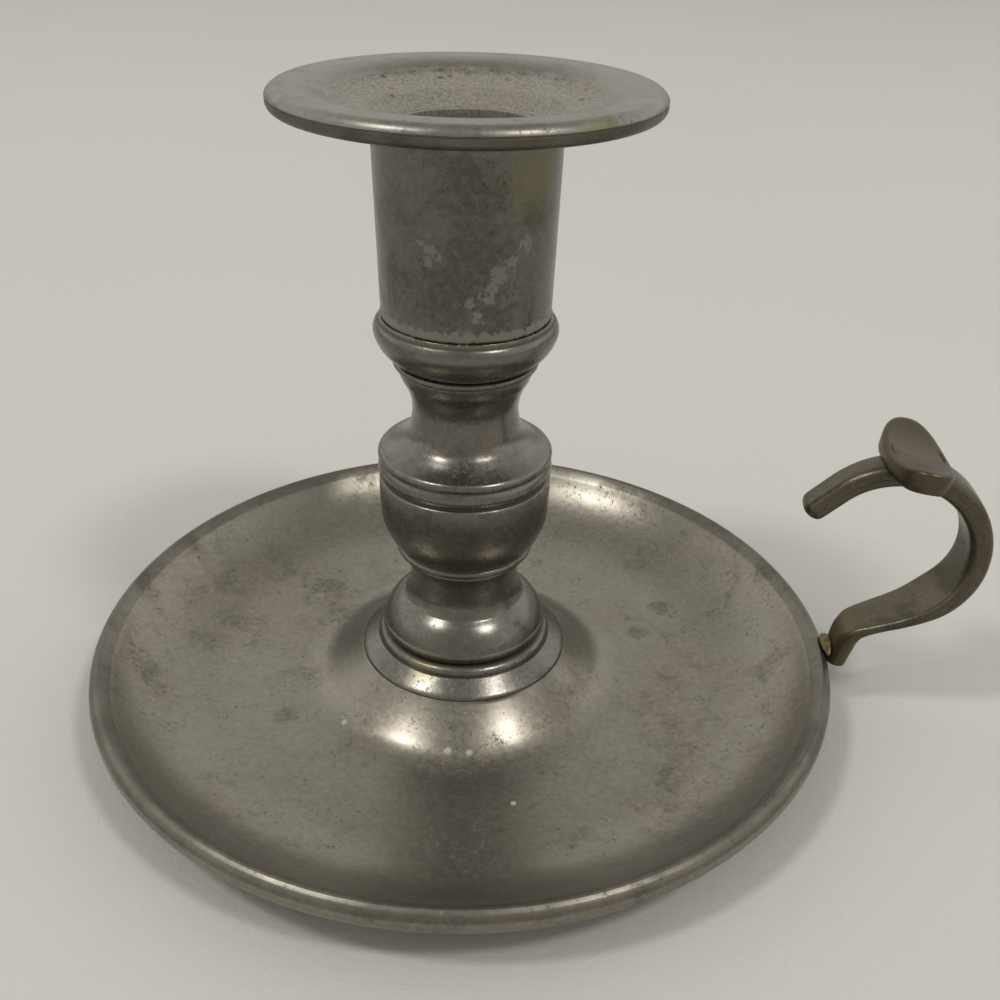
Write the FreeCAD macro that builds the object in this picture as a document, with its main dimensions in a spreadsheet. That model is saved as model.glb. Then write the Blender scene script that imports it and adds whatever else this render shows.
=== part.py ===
import FreeCAD, Part
import math
import os
import Sketcher

# A chamberstick: a dished drip pan with a turned stem, a loose candle nozzle and a finger loop.
# Millimetres, +Z up. The origin is the centre of the pan's foot ring, on the table, and the
# handle points along +X. Each turned piece is drawn from its own seat and placed on the one below.

SIZES = [
    ("pan_radius", 70.0, "outside of the rolled rim"),
    ("rim_top", 12.5, "top of the rim above the table"),
    ("rim_wide", 3.3, "rolled rim, seen from above"),
    ("rim_crown", 0.6, "how far the rim stands above the top of the wall"),
    ("rim_deep", 4.6, "rolled rim, seen from the side"),
    ("sheet", 2.0, "pan metal"),
    ("floor_radius", 47.0, "where the flat floor turns up"),
    ("flare_radius", 29.5, "foot of the raised boss"),
    ("flare_hollow", 1.0, "how far the boss flare sinks in"),
    ("boss_radius", 19.6, "flat top of the boss"),
    ("boss_top", 9.3, "flat top of the boss above the table"),
    ("collar_radius", 19.2, "foot collar at the boss"),
    ("collar_tall", 4.4, "foot collar"),
    ("collar_neck", 14.8, "foot collar at its top"),
    ("knop_radius", 15.6, "foot knop at its widest"),
    ("knop_tall", 15.8, "foot knop with its neck"),
    ("neck_radius", 10.6, "neck between knop and vase"),
    ("vase_radius", 15.3, "vase at its top"),
    ("vase_tall", 17.1, "vase with its two foot beads"),
    ("vase_foot", 11.4, "lowest bead of the vase"),
    ("band_radius", 15.5, "crest of the bead at mid stem"),
    ("band_tall", 3.4, "mid band"),
    ("joint_radius", 14.9, "faces where band, vase and shoulder meet"),
    ("shoulder_radius", 15.55, "shoulder of the upper stem"),
    ("upper_tall", 19.3, "upper stem"),
    ("waist_radius", 9.15, "waist of the upper stem"),
    ("throat_radius", 11.7, "upper stem below the thin bead"),
    ("ring_radius", 15.6, "ring below the cup"),
    ("ring_tall", 7.2, "ring below the cup"),
    ("ring_lip", 14.6, "top lip of the ring"),
    ("cup_foot_radius", 14.2, "cup at its foot"),
    ("cup_mouth_radius", 15.05, "cup at its mouth"),
    ("cup_tall", 31.4, "candle cup"),
    ("cup_floor", 3.0, "floor of the cup"),
    ("candle_bore", 11.1, "radius of the candle bore"),
    ("sleeve_wall", 0.9, "nozzle sleeve"),
    ("sleeve_rise", 1.0, "sleeve foot above the cup floor"),
    ("nozzle_play", 0.3, "radial play of the nozzle in the cup"),
    ("throat_drop", 1.0, "bottom of the funnel below the cup mouth"),
    ("flange_radius", 30.4, "nozzle flange"),
    ("flange_tall", 4.9, "nozzle flange from its seat to its top"),
    ("flange_edge", 3.3, "flange at its edge"),
    ("dish_radius", 22.2, "mouth of the flange's dish"),
    ("core_radius", 3.5, "hollow up the middle of the stem"),
    ("spigot_radius", 7.0, "spigots that join the stem"),
    ("spigot_long", 3.0, "spigots that join the stem"),
    ("fit", 0.05, "radial clearance of a soldered spigot"),
    ("rivet_radius", 8.8, "peened head below the boss"),
    ("rivet_thick", 1.0, "peened head below the boss"),
    ("strap_foot_drop", 2.4, "strap foot below the rim top"),
    ("strap_lean", 80.0, "degrees, slant of the strap foot"),
    ("strap_foot_long", 4.5, "straight foot of the strap"),
    ("kink_radius", 6.0, "bend above the foot"),
    ("run_slope", 24.0, "degrees, rise of the straight run"),
    ("run_long", 5.6, "straight run"),
    ("lower_bend", 24.0, "radius of the long bend under the loop"),
    ("loop_entry", 45.0, "degrees, where the loop proper begins"),
    ("loop_radius", 13.3, "inside of the finger loop"),
    ("loop_exit", 224.0, "degrees, where the finger end begins"),
    ("finger_long", 6.8, "straight finger end"),
    ("foot_thick", 4.2, "strap at its foot"),
    ("run_thick", 1.9, "strap in its lower run"),
    ("loop_thick", 4.1, "strap round the loop"),
    ("foot_wide", 7.0, "strap at its foot"),
    ("loop_wide", 11.7, "strap at its widest"),
    ("finger_wide", 6.2, "strap at its finger end"),
    ("strap_round", 0.6, "softened corners of the strap"),
    ("rim_gap", 0.05, "solder gap between strap and rim"),
    ("thumb_long", 22.2, "thumb rest across the handle"),
    ("thumb_wide", 11.0, "thumb rest along the handle"),
    ("thumb_thick", 2.2, "thumb rest"),
    ("thumb_curl", 2.5, "how far its ends turn up"),
    ("thumb_tilt", 8.0, "degrees, outward slope of the thumb rest"),
    ("thumb_seat", 2.6, "metal left in the strap under the thumb rest"),
    ("thumb_shift", 1.1, "thumb rest outwards from the crown of the loop"),
    ("thumb_round", 2.0, "rounded underside at each end of the thumb rest"),
    ("solder_wide", 7.0, "solder between strap and rim"),
    ("solder_climb", 1.4, "solder up the strap, above the rim"),
    ("solder_over", 1.4, "solder in over the rim"),
    ("solder_root", 1.2, "solder down between rim and strap"),
    ("solder_bite", 0.12, "how far the solder wets into the faces of rim and strap"),
]

doc = FreeCAD.newDocument("chamberstick")
sheet = doc.addObject("Spreadsheet::Sheet", "Sizes")
for row, (alias, number, meaning) in enumerate(SIZES, start=1):
    sheet.set(f"A{row}", meaning)
    sheet.set(f"B{row}", str(number))
    sheet.setAlias(f"B{row}", alias)
doc.recompute()


class Size:
    """A length that knows its number and the expression over the sheet that gives it."""

    def __init__(self, number, text):
        self.number = number
        self.text = text

    def join(self, other, sign, result, flip=False):
        other = as_size(other)
        first, second = (other, self) if flip else (self, other)
        return Size(result(first.number, second.number), f"({first.text} {sign} {second.text})")

    def __add__(self, other):
        return self.join(other, "+", lambda a, b: a + b)

    def __radd__(self, other):
        return self.join(other, "+", lambda a, b: a + b, flip=True)

    def __sub__(self, other):
        return self.join(other, "-", lambda a, b: a - b)

    def __rsub__(self, other):
        return self.join(other, "-", lambda a, b: a - b, flip=True)

    def __mul__(self, other):
        return self.join(other, "*", lambda a, b: a * b)

    def __rmul__(self, other):
        return self.join(other, "*", lambda a, b: a * b, flip=True)

    def __truediv__(self, other):
        return self.join(other, "/", lambda a, b: a / b)


def as_size(value):
    return value if isinstance(value, Size) else Size(float(value), f"{float(value):.6g}")


def size(alias):
    return Size(float(sheet.get(alias)), f"Sizes.{alias}")


class Sizes:
    """Reads a size from the sheet by its name, such as S.pan_radius."""

    def __getattr__(self, alias):
        return size(alias)


S = Sizes()


# ---------------------------------------------------------------- outlines and bodies

def origin_plane(body, role):
    for feature in body.Origin.OriginFeatures:
        if feature.Role == role:
            return feature
    raise ValueError(role)


def new_sketch(body, name, role):
    sketch = body.newObject("Sketcher::SketchObject", name)
    sketch.AttachmentSupport = [(origin_plane(body, role), "")]
    sketch.MapMode = "FlatFace"
    return sketch


def tangent_arc(start, direction, end):
    """Arc from start, leaving along direction, to end, as its middle point."""
    chord = end - start
    turn = 2 * math.atan2(direction.x * chord.y - direction.y * chord.x,
                          direction.x * chord.x + direction.y * chord.y)
    quarter = FreeCAD.Rotation(FreeCAD.Vector(0, 0, 1), math.degrees(-turn / 4))
    half_chord = chord.Length / (2 * math.cos(turn / 4))
    return start + quarter.multVec(chord.normalize()) * half_chord


def pin_point(sketch, geometry, position, across, up):
    """Fixes one point of the sketch at (across, up), bound to the sheet."""
    for kind, value in (("DistanceX", as_size(across)), ("DistanceY", as_size(up))):
        index = sketch.addConstraint(
            Sketcher.Constraint(kind, -1, 1, geometry, position, value.number))
        sketch.setExpression(f"Constraints[{index}]", value.text)


def draw_outline(sketch, steps):
    """Draws a closed outline. A step is (across, up) for a line to that point, or
    (across, up, "via", across, up) for an arc through a point, or (across, up, "leave") for an
    arc that leaves the step before it smoothly, or (across, up, "meet") for an arc that meets
    the next line smoothly."""
    ends = [FreeCAD.Vector(as_size(step[0]).number, as_size(step[1]).number, 0) for step in steps]
    made = []
    for number, step in enumerate(steps):
        start, end = ends[number - 1], ends[number]
        kind = step[2] if len(step) > 2 else "line"
        if kind == "line":
            edge = Part.LineSegment(start, end)
        else:
            if kind == "via":
                middle = FreeCAD.Vector(as_size(step[3]).number, as_size(step[4]).number, 0)
            elif kind == "leave":
                middle = tangent_arc(start, start - ends[number - 2], end)
            else:
                following = ends[(number + 1) % len(ends)]
                middle = tangent_arc(end, end - following, start)
            edge = Part.Arc(start, middle, end)
        index = sketch.addGeometry(edge, False)
        forwards = (sketch.getPoint(index, 1) - start).Length < (sketch.getPoint(index, 2) - start).Length
        made.append((index, 1 if forwards else 2, 2 if forwards else 1, kind))
    for number, step in enumerate(steps):
        index, first, last, kind = made[number]
        after, after_first, after_last, after_kind = made[(number + 1) % len(steps)]
        pin_point(sketch, index, last, step[0], step[1])
        if kind == "meet" or after_kind == "leave":
            sketch.addConstraint(Sketcher.Constraint("Tangent", index, last, after, after_first))
        else:
            sketch.addConstraint(Sketcher.Constraint("Coincident", index, last, after, after_first))
        if kind == "via":
            mark = sketch.addGeometry(
                Part.Point(FreeCAD.Vector(as_size(step[3]).number, as_size(step[4]).number, 0)), True)
            pin_point(sketch, mark, 1, step[3], step[4])
            sketch.addConstraint(Sketcher.Constraint("PointOnObject", mark, 1, index))


def place(body, across=None, up=None):
    for axis, value in (("x", across), ("z", up)):
        if value is not None:
            body.setExpression(f"Placement.Base.{axis}", as_size(value).text)


def turned(name, steps, up):
    """A piece turned on the upright axis, from its outline in radius and height."""
    body = doc.addObject("PartDesign::Body", name)
    body.Label = name
    sketch = new_sketch(body, f"{name}_outline", "XZ_Plane")
    draw_outline(sketch, steps)
    spin = body.newObject("PartDesign::Revolution", f"{name}_turned")
    spin.Profile = sketch
    spin.ReferenceAxis = (sketch, ["V_Axis"])
    spin.Angle = 360.0
    body.Tip = spin
    place(body, up=up)
    return body


# ---------------------------------------------------------------- heights up the stem

collar_seat = S.boss_top
knop_seat = collar_seat + S.collar_tall
vase_seat = knop_seat + S.knop_tall
band_seat = vase_seat + S.vase_tall
upper_seat = band_seat + S.band_tall
ring_seat = upper_seat + S.upper_tall
cup_seat = ring_seat + S.ring_tall
cup_mouth = cup_seat + S.cup_tall
socket_radius = S.spigot_radius + S.fit


def spigot(through=0):
    """From the hollow core, out along the foot of the spigot and up to the seat. A spigot that
    goes through a ring is longer by the ring."""
    foot = 0 - S.spigot_long - through
    return [(S.core_radius, foot),
            (S.spigot_radius, foot),
            (S.spigot_radius, 0)]


def socket(top):
    """From the top face in, down the socket and in to the hollow core."""
    return [(socket_radius, top),
            (socket_radius, top - S.spigot_long - S.fit),
            (S.core_radius, top - S.spigot_long - S.fit)]


# ---------------------------------------------------------------- drip pan

def drip_pan():
    """Spun pan: flat foot ring, hollow boss for the stem, dished wall and rolled rim."""
    rim_low = S.rim_top - S.rim_deep
    rim_root = S.pan_radius - S.rim_wide
    flare_mid = (S.flare_radius + S.boss_radius) / 2 - S.flare_hollow * 0.59
    flare_mid_up = (S.boss_top + S.sheet) / 2 - S.flare_hollow * 0.81
    under_in = S.sheet * 0.59
    under_down = S.sheet * 0.81
    return turned("drip_pan", [
        (socket_radius, S.boss_top - S.sheet),
        (S.boss_radius - under_in, S.boss_top - S.sheet),
        (S.flare_radius - under_in / 2, 0, "via", flare_mid - under_in, flare_mid_up - under_down),
        (S.floor_radius, 0),
        (rim_root + 0.6, rim_low, "leave"),
        (S.pan_radius - 1.4, rim_low),
        (S.pan_radius - 1.6, S.rim_top, "via", S.pan_radius, S.rim_top - S.rim_deep / 2),
        (rim_root, S.rim_top - S.rim_crown, "via", rim_root + 0.8, S.rim_top - S.rim_crown * 0.25),
        (S.floor_radius, S.sheet, "meet"),
        (S.flare_radius, S.sheet),
        (S.boss_radius, S.boss_top, "via", flare_mid, flare_mid_up),
        (socket_radius, S.boss_top),
    ], up=0)


# ---------------------------------------------------------------- stem, from the foot up

def foot_collar():
    """Stepped collar on the boss, with an incised line below its rounded top."""
    top = S.collar_tall
    line_radius = S.collar_radius - 2.8
    return turned("foot_collar", [
        (S.collar_radius, 0),
        (S.collar_radius, 0.5),
        (S.collar_radius - 0.2, 0.8),
        (line_radius + 0.15, 2.5),
        (line_radius - 0.15, 2.5),
        (line_radius + 0.05, 2.8),
        (S.collar_neck, top, "via", S.collar_neck + 1.2, top - 0.5),
        (socket_radius, top),
        (socket_radius, 0),
    ], up=collar_seat)


def foot_knop():
    """Knop and neck. Its tenon goes through the collar and the boss and is peened over below."""
    tenon = S.collar_tall + S.sheet + S.fit
    top = S.knop_tall
    return turned("foot_knop", [
        (S.core_radius, 0 - tenon - S.rivet_thick),
        (S.rivet_radius - 0.8, 0 - tenon - S.rivet_thick),
        (S.rivet_radius, 0 - tenon, "via", S.rivet_radius - 0.2, 0 - tenon - S.rivet_thick * 0.7),
        (S.spigot_radius, 0 - tenon),
        (S.spigot_radius, 0),
        (S.knop_radius - 1.9, 0),
        (S.knop_radius - 0.1, 1.4, "via", S.knop_radius - 0.6, 0.55),
        (S.knop_radius - 0.4, 2.3, "via", S.knop_radius - 0.15, 1.95),
        (S.neck_radius + 0.6, 7.2, "via", S.knop_radius - 2.05, 5.2),
        (S.neck_radius - 0.6, 11.0, "via", S.neck_radius - 0.3, 8.9),
        (S.neck_radius, top, "via", S.neck_radius - 0.5, 13.6),
    ] + socket(top), up=knop_seat)


def lower_vase():
    """Vase on two fine beads."""
    top = S.vase_tall
    foot = S.vase_foot
    return turned("lower_vase", spigot() + [
        (foot - 0.4, 0),
        (foot - 0.4, 1.1, "via", foot, 0.55),
        (foot - 0.2, 1.6),
        (foot + 0.6, 2.9, "via", foot + 1.15, 2.3),
        (foot + 1.0, 3.1),
        (S.vase_radius - 0.25, 8.8, "via", S.vase_radius - 1.5, 5.25),
        (S.vase_radius, top - 0.3, "via", S.vase_radius + 0.05, top - 4.0),
        (S.joint_radius, top),
    ] + socket(top), up=vase_seat)


def mid_band():
    """Bead ring held between the vase and the upper stem, whose spigot goes through it."""
    top = S.band_tall
    return turned("mid_band", [
        (socket_radius, 0),
        (S.joint_radius, 0),
        (S.joint_radius, 0.3),
        (S.joint_radius, top - 0.3, "via", S.band_radius, top / 2),
        (S.joint_radius, top),
        (socket_radius, top),
    ], up=band_seat)


def upper_stem():
    """Domed shoulder, waisted neck and the thin bead below the ring."""
    top = S.upper_tall
    waist = S.waist_radius
    return turned("upper_stem", spigot(S.band_tall) + [
        (S.joint_radius, 0),
        (S.shoulder_radius, 0.7, "via", S.shoulder_radius - 0.2, 0.25),
        (waist + 2.45, 3.5, "via", S.shoulder_radius - 1.95, 2.05),
        (waist + 0.35, 7.2, "via", waist + 0.95, 5.0),
        (waist + 0.6, 12.5, "via", waist + 0.1, 9.8),
        (waist + 1.75, 14.9, "via", waist + 1.1, 13.8),
        (S.throat_radius, top - 2.1, "via", S.throat_radius - 0.25, 16.2),
        (S.throat_radius, top - 1.8),
        (S.throat_radius, top - 0.6, "via", S.throat_radius + 0.8, top - 1.2),
        (S.throat_radius - 0.1, top),
    ] + socket(top), up=upper_seat)


def collar_ring():
    """Heavy ring that carries the cup, with a stepped upper lip."""
    top = S.ring_tall
    return turned("collar_ring", spigot() + [
        (S.throat_radius + 0.2, 0),
        (S.throat_radius + 1.3, 0.1),
        (S.throat_radius + 1.5, 0.5),
        (S.ring_radius, 4.5, "via", S.ring_radius - 0.6, 2.7),
        (S.ring_lip + 0.3, 6.4, "via", S.ring_radius - 0.15, 5.6),
        (S.ring_lip, 6.5),
        (S.ring_lip, top),
    ] + socket(top), up=ring_seat)


def candle_cup():
    """Cup that holds the nozzle: slightly wider at its mouth, with a solid floor."""
    top = S.cup_tall
    bore = S.candle_bore + S.sleeve_wall + S.nozzle_play
    return turned("candle_cup", [
        (0, 0 - S.spigot_long),
        (S.spigot_radius, 0 - S.spigot_long),
        (S.spigot_radius, 0),
        (S.cup_foot_radius - 0.15, 0),
        (S.cup_foot_radius, 0.3),
        (S.cup_mouth_radius, top - 0.2),
        (S.cup_mouth_radius - 0.2, top),
        (S.cup_mouth_radius - 0.9, top),
        (bore, top - 3.1),
        (bore, S.cup_floor),
        (0, S.cup_floor),
    ], up=cup_seat)


# ---------------------------------------------------------------- loose nozzle

def nozzle_flange():
    """Wide dished flange: turned edge over a set-back band, and a funnel down to the bore."""
    top = S.flange_tall
    hole = S.candle_bore + S.sleeve_wall
    under = top - S.flange_edge
    edge = S.flange_radius
    nose = S.throat_drop + 0.9
    return turned("nozzle_flange", [
        (hole, 0 - nose),
        (hole + 0.25, 0 - nose),
        (S.cup_mouth_radius - 1.1, 0),
        (S.cup_mouth_radius + 0.4, 0),
        (S.dish_radius - 1.6, under, "via", S.cup_mouth_radius + 3.6, under - 0.9),
        (edge - 1.8, under),
        (edge - 0.1, under + 1.2, "via", edge - 0.45, under + 0.35),
        (edge, top - 0.85),
        (edge - 0.4, top - 0.55),
        (edge - 0.7, top - 0.7),
        (edge - 0.75, top - 0.55),
        (edge - 2.9, top, "via", edge - 1.5, top - 0.12),
        (S.dish_radius + 2.2, top),
        (S.dish_radius - 0.6, top - 1.05, "via", S.dish_radius + 0.6, top - 0.35),
        (S.cup_mouth_radius + 0.3, 1.5, "via", S.dish_radius - 3.4, top - 2.9),
        (hole, 0 - S.throat_drop),
    ], up=cup_mouth)


def nozzle_sleeve():
    """Tube that takes the candle, soldered into the flange and loose in the cup."""
    outer = S.candle_bore + S.sleeve_wall - S.fit
    foot = S.cup_floor + S.sleeve_rise - S.cup_tall
    return turned("nozzle_sleeve", [
        (S.candle_bore, foot),
        (outer, foot),
        (outer, 0 - S.throat_drop),
        (S.candle_bore, 0 - S.throat_drop),
    ], up=cup_mouth)


# ---------------------------------------------------------------- finger loop

def strap_path():
    """Stations along the strap's inner face: (across, up, heading in degrees, width, thickness).
    The strap rises from the rim, kinks outwards, runs up and bends round the finger."""
    value = {alias: float(sheet.get(alias)) for alias, number, meaning in SIZES}
    spot = FreeCAD.Vector(value["pan_radius"] + value["rim_gap"], 0,
                          value["rim_top"] - value["strap_foot_drop"])
    heading = value["strap_lean"]
    stations = []

    def mark(wide, thick):
        stations.append((spot.x, spot.z, heading, wide, thick))

    def go(length):
        nonlocal spot
        angle = math.radians(heading)
        spot = spot + FreeCAD.Vector(math.cos(angle), 0, math.sin(angle)) * length

    def bend(radius, until):
        nonlocal spot, heading
        side = 1 if until > heading else -1
        before, after = math.radians(heading), math.radians(until)
        spot = spot + FreeCAD.Vector(math.sin(after) - math.sin(before), 0,
                                     math.cos(before) - math.cos(after)) * (radius * side)
        heading = until

    def between(low, high, share):
        return low + (high - low) * share

    foot_wide, loop_wide = value["foot_wide"], value["loop_wide"]
    foot_thick, run_thick, loop_thick = value["foot_thick"], value["run_thick"], value["loop_thick"]
    mark(foot_wide * 0.85, foot_thick * 0.75)
    go(value["strap_foot_long"] / 2)
    mark(foot_wide, foot_thick * 0.9)
    go(value["strap_foot_long"] / 2)
    mark(foot_wide, foot_thick)
    bend(value["kink_radius"], between(value["strap_lean"], value["run_slope"], 0.45))
    mark(between(foot_wide, loop_wide, 0.15), between(foot_thick, run_thick, 0.15))
    bend(value["kink_radius"], value["run_slope"])
    mark(between(foot_wide, loop_wide, 0.35), between(foot_thick, run_thick, 0.9))
    go(value["run_long"])
    mark(between(foot_wide, loop_wide, 0.6), run_thick)
    for share in (0.5, 1.0):
        bend(value["lower_bend"], between(value["run_slope"], value["loop_entry"], share) if share < 1
             else value["loop_entry"])
        mark(between(foot_wide, loop_wide, 0.6 + 0.4 * share), between(run_thick, loop_thick, 0.5 * share))
    turns = 8
    for turn in range(1, turns + 1):
        share = turn / turns
        bend(value["loop_radius"], between(value["loop_entry"], value["loop_exit"], share))
        mark(between(loop_wide, value["finger_wide"], min(1.0, share * 1.05)), loop_thick)
    go(value["finger_long"] / 2)
    mark(value["finger_wide"], loop_thick)
    go(value["finger_long"] / 2)
    mark(value["finger_wide"] * 0.8, loop_thick * 0.9)
    return stations


def strap_section(body, number, station):
    """Cross-section of the strap with softened corners, square to its path."""
    across, up, heading, wide, thick = station
    sketch = new_sketch(body, f"strap_section_{number:02d}", "XY_Plane")
    sketch.AttachmentOffset = FreeCAD.Placement(
        FreeCAD.Vector(across, 0, up), FreeCAD.Rotation(FreeCAD.Vector(0, 1, 0), 90 - heading))
    half = wide / 2
    r = min(float(sheet.get("strap_round")), thick * 0.45, half * 0.45)
    k = r * (1 - math.sqrt(0.5))
    draw_outline(sketch, [
        (thick - r, half),
        (thick, half - r, "via", thick - k, half - k),
        (thick, r - half),
        (thick - r, 0 - half, "via", thick - k, k - half),
        (r, 0 - half),
        (0, r - half, "via", k, k - half),
        (0, half - r),
        (r, half, "via", k, half - k),
    ])
    return sketch


def handle_strap():
    body = doc.addObject("PartDesign::Body", "handle_strap")
    body.Label = "handle_strap"
    stations = strap_path()
    sections = [strap_section(body, number, station) for number, station in enumerate(stations)]
    doc.recompute()
    loft = body.newObject("PartDesign::AdditiveLoft", "strap_forged")
    loft.Profile = sections[0]
    loft.Sections = sections[1:]
    loft.Ruled = False
    body.Tip = loft
    doc.recompute()
    whole = loft.Shape.Volume
    seat = new_sketch(body, "thumb_seat_outline", "XZ_Plane")
    seat.AttachmentOffset = thumb_frame()
    half = S.thumb_wide / 2 + S.fit
    draw_outline(seat, [(0 - half, 0), (half, 0), (half, S.loop_thick * 2), (0 - half, S.loop_thick * 2)])
    cut = body.newObject("PartDesign::Pocket", "thumb_seat")
    cut.Profile = seat
    cut.Type = "Length"
    cut.Midplane = True
    cut.Length = 2 * float(sheet.get("loop_wide"))
    cut.setExpression("Length", "2 * Sizes.loop_wide")
    body.Tip = cut
    doc.recompute()
    if not cut.Shape.Volume < whole:
        raise RuntimeError("the thumb seat removed nothing")
    return body


def loop_crown():
    """Highest point of the strap's inner face: across and up."""
    path = strap_path()
    entry, radius = math.radians(float(sheet.get("loop_entry"))), float(sheet.get("loop_radius"))
    first = next(station for station in path if station[2] == float(sheet.get("loop_entry")))
    return first[0] - radius * math.sin(entry), first[1] + radius * math.cos(entry) + radius


def thumb_frame():
    """The seat plane of the thumb rest, as an offset in a body's upright plane along the handle."""
    across, up = loop_crown()
    tilt = FreeCAD.Rotation(FreeCAD.Vector(0, 0, 1), -float(sheet.get("thumb_tilt")))
    return FreeCAD.Placement(
        FreeCAD.Vector(across + float(sheet.get("thumb_shift")), up + float(sheet.get("thumb_seat")), 0),
        tilt)


def thumb_rest():
    """Oval plate on the crown of the loop, dished for the thumb, its two ends turned up."""
    body = doc.addObject("PartDesign::Body", "thumb_rest")
    body.Label = "thumb_rest"
    half_long, half_wide = S.thumb_long / 2, S.thumb_wide / 2
    flat = half_long - S.thumb_round
    end_low = S.thumb_round * 0.45
    bent = new_sketch(body, "thumb_rest_side", "YZ_Plane")
    draw_outline(bent, [
        (flat, 0),
        (half_long, end_low, "via", half_long - end_low * 0.9, end_low / 3),
        (half_long, S.thumb_curl + S.thumb_thick),
        (0 - half_long, S.thumb_curl + S.thumb_thick, "via", 0, S.thumb_thick),
        (0 - half_long, end_low),
        (0 - flat, 0, "via", end_low * 0.9 - half_long, end_low / 3),
    ])
    plate = body.newObject("PartDesign::Pad", "thumb_rest_plate")
    plate.Profile = bent
    plate.Midplane = True
    plate.Length = 2 * float(sheet.get("thumb_wide"))
    plate.setExpression("Length", "2 * Sizes.thumb_wide")
    body.Tip = plate
    doc.recompute()
    whole = plate.Shape.Volume
    around = new_sketch(body, "thumb_rest_oval", "XY_Plane")
    far = S.thumb_long * 2
    draw_outline(around, [(far, 0 - far), (far, far), (0 - far, far), (0 - far, 0 - far)])
    corner = math.sqrt(0.5) * 1.06
    draw_outline(around, [
        (half_wide, 0, "via", half_wide * 0.92, 0 - half_long * 0.46),
        (half_wide * corner, half_long * corner, "via", half_wide * 0.92, half_long * 0.46),
        (0 - half_wide * corner, half_long * corner, "via", 0, half_long),
        (0 - half_wide, 0, "via", half_wide * -0.92, half_long * 0.46),
        (0 - half_wide * corner, 0 - half_long * corner, "via", half_wide * -0.92, half_long * -0.46),
        (half_wide * corner, 0 - half_long * corner, "via", 0, 0 - half_long),
    ])
    trim = body.newObject("PartDesign::Pocket", "thumb_rest_trim")
    trim.Profile = around
    trim.Type = "ThroughAll"
    trim.Midplane = True
    body.Tip = trim
    doc.recompute()
    if not trim.Shape.Volume < whole:
        raise RuntimeError("the oval removed nothing")
    seat = thumb_frame()
    body.Placement = FreeCAD.Placement(
        FreeCAD.Vector(seat.Base.x, 0, seat.Base.y),
        FreeCAD.Rotation(FreeCAD.Vector(0, 1, 0), float(sheet.get("thumb_tilt"))))
    return body


def handle_solder():
    """Wedge of solder in the corner between the rim and the foot of the strap."""
    body = doc.addObject("PartDesign::Body", "handle_solder")
    body.Label = "handle_solder"
    lean = 1 / math.tan(math.radians(float(sheet.get("strap_lean"))))
    sketch = new_sketch(body, "handle_solder_outline", "XZ_Plane")
    root = S.rim_top - S.solder_root
    top = S.rim_top + S.solder_climb
    strap_face = S.pan_radius + S.rim_gap - S.solder_bite
    rim_face = S.pan_radius - S.solder_bite
    hollow = S.solder_over / 4
    draw_outline(sketch, [
        (rim_face, root, "via", rim_face - S.solder_bite * 2, S.rim_top - S.solder_root / 2),
        (strap_face + (S.strap_foot_drop - S.solder_root) * lean, root),
        (strap_face + (S.strap_foot_drop + S.solder_climb) * lean, top),
        (S.pan_radius - S.solder_over, S.rim_top + 0.05,
         "via", S.pan_radius - hollow, S.rim_top + hollow * 1.6),
    ])
    spin = body.newObject("PartDesign::Revolution", "handle_solder_turned")
    spin.Profile = sketch
    spin.ReferenceAxis = (sketch, ["V_Axis"])
    spin.Midplane = True
    spin.Angle = math.degrees(float(sheet.get("solder_wide")) / float(sheet.get("pan_radius")))
    body.Tip = spin
    return body


PIECES = [drip_pan(), foot_collar(), foot_knop(), lower_vase(), mid_band(), upper_stem(), collar_ring(),
          candle_cup(), nozzle_flange(), nozzle_sleeve(), handle_strap(), thumb_rest(), handle_solder()]
doc.recompute()

faults = [item.Name for item in doc.Objects if {"Invalid", "Error"} & set(item.State)]
faults += [piece.Label for piece in PIECES if piece.Shape.isNull() or not piece.Shape.isValid()]
if faults:
    raise RuntimeError(f"these did not build: {faults}")
os.makedirs("parts", exist_ok=True)
for piece in PIECES:
    piece.Shape.exportStep(f"parts/{piece.Label}.step")
    print(piece.Label, round(piece.Shape.Volume, 1), piece.Shape.BoundBox)
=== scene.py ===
"""Looks of a chamberstick with a finger loop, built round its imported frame."""

from math import asin, atan2, ceil, copysign, cos, dist, hypot, pi, radians, sin, sqrt, tau
from types import SimpleNamespace

import bmesh
import bpy
from bpy.props import FloatProperty, FloatVectorProperty, IntProperty, PointerProperty
from mathutils import Matrix, Vector, noise


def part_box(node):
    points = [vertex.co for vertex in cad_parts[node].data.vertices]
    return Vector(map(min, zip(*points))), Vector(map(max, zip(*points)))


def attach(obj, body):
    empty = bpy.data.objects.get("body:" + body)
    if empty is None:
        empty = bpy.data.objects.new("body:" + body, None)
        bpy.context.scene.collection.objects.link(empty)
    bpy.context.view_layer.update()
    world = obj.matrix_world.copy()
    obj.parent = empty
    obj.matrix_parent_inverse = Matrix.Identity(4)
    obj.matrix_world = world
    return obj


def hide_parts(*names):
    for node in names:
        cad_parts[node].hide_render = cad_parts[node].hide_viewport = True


bl_info = {
    "name": "Chamberstick looks",
    "version": (1, 0, 0),
    "blender": (4, 5, 0),
    "location": "View3D > Sidebar > Chamberstick",
    "description": "Builds the looks of a pewter chamberstick round its frame",
    "category": "Object",
}

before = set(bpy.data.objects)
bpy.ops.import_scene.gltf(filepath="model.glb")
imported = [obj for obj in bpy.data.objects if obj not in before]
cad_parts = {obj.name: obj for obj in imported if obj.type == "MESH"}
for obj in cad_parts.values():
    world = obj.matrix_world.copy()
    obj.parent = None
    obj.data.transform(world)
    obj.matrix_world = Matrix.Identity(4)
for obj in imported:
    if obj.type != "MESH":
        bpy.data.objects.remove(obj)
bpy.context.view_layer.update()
MM = 0.001


def low(node):
    """Lowest height of a frame node, in millimetres."""
    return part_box(node)[0].z / MM


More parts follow.
